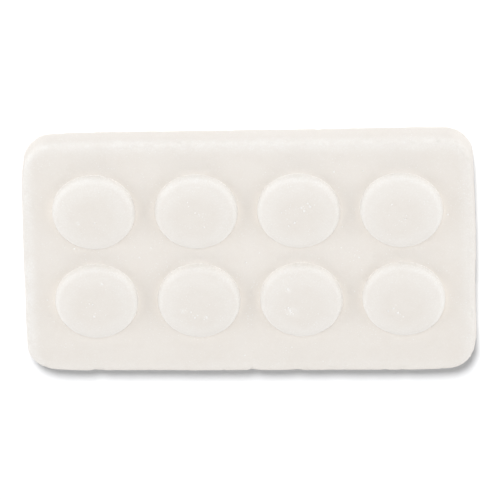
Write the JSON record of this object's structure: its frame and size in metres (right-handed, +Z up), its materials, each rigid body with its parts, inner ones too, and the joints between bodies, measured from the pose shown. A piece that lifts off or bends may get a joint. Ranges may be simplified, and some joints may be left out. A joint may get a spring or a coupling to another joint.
{
  "type": "gymnastics chalk block",
  "caption": "Flat pressed block of white grip chalk with rounded corners and raised round domes in two rows on its face, lying flat.",
  "frame": {"origin": "centre of the underside, on the surface that the block lies on", "axes": "+X along the block's long side, +Y from the front row of domes to the back row, +Z up out of the domed face"},
  "size_m": [0.1416, 0.0834, 0.0134],
  "materials": {
    "pressed_chalk": "matte",
    "loose_chalk": "matte"
  },
  "bodies": {
    "root": {"slab": "pressed_chalk", "dome_front_1": "pressed_chalk", "dome_front_2": "pressed_chalk", "dome_front_3": "pressed_chalk", "dome_front_4": "pressed_chalk", "dome_back_1": "pressed_chalk", "dome_back_2": "pressed_chalk", "dome_back_3": "pressed_chalk", "dome_back_4": "pressed_chalk", "loose_crumbs": "loose_chalk"}
  },
  "joints": []
}
